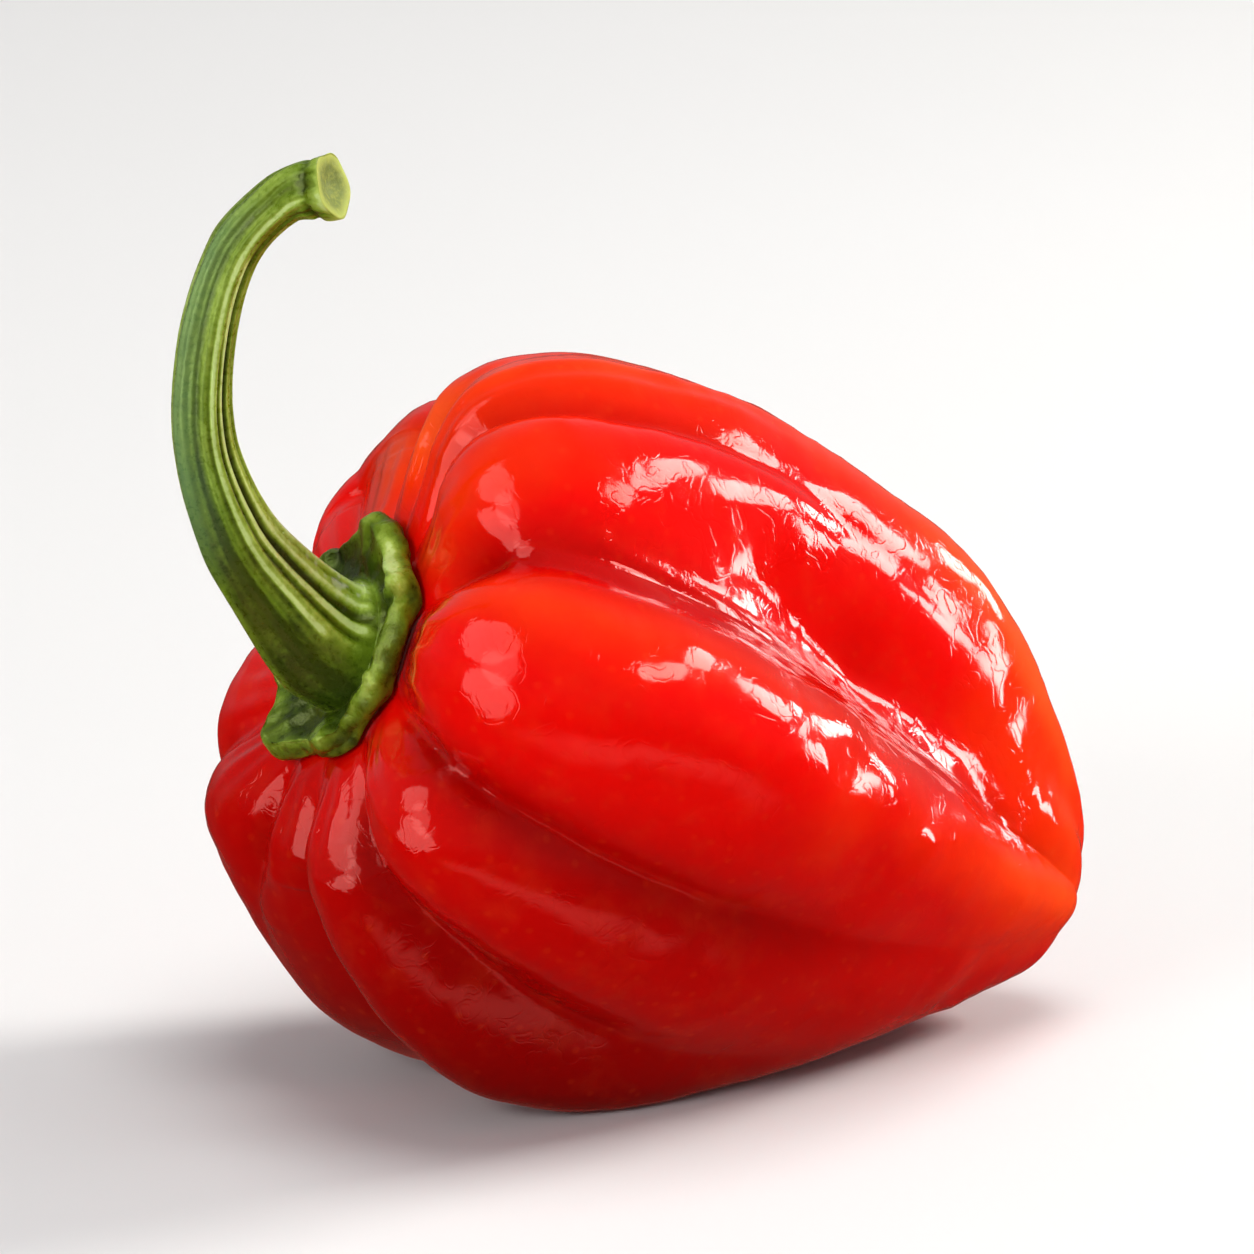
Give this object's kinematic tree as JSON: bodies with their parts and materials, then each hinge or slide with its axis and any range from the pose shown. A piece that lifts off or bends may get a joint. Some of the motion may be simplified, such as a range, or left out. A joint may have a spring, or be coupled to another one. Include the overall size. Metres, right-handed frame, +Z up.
{
  "type": "scotch bonnet pepper",
  "caption": "Ripe red lobed chilli pod with its green calyx and hooked stem, lying on its side as picked.",
  "frame": {"origin": "centre of the whole pepper's box in plan, on the surface that it lies on", "axes": "+Z up, +X from the stem end towards the pod's tip, +Y to the side that the stem's hook turns away from"},
  "size_m": [0.0586, 0.0412, 0.0581],
  "materials": {
    "pod_skin": "waxy gloss, bright red shading to orange-red",
    "stem_green": "soft satin green, ridged along its length"
  },
  "bodies": {
    "root": {"pod": "pod_skin", "calyx_stem": "stem_green"}
  },
  "joints": []
}
